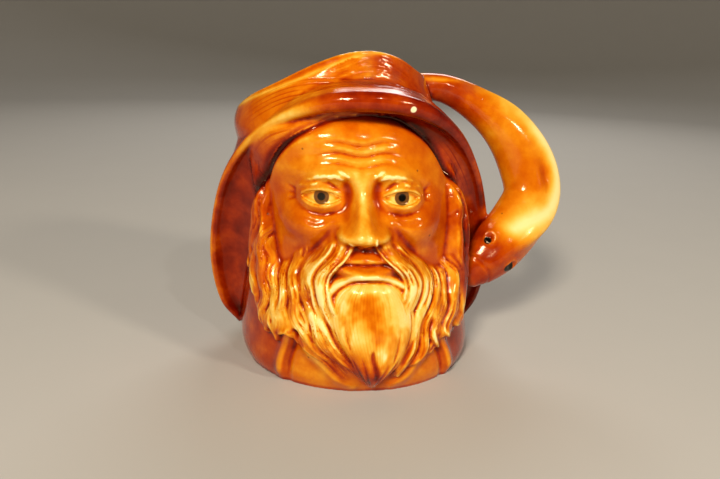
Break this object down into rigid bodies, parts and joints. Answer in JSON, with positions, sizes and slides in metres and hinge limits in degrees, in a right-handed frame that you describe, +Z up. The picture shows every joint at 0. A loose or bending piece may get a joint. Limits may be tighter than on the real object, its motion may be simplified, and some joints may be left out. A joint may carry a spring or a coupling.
{
  "type": "character jug",
  "caption": "Glazed earthenware jug shaped as a bearded old man's head in a slouch hat, open at the crown, with a handle formed as an animal's neck and head.",
  "frame": {"origin": "centre of the flat underside", "axes": "+Z up, -Y the way the face looks, +X towards the handle"},
  "size_m": [0.2004, 0.1459, 0.1677],
  "materials": {
    "glaze": "thick glossy honey-amber glaze, brown in the recesses and pale yellow on the edges"
  },
  "bodies": {
    "root": {"toby_jug": "glaze"}
  },
  "joints": []
}
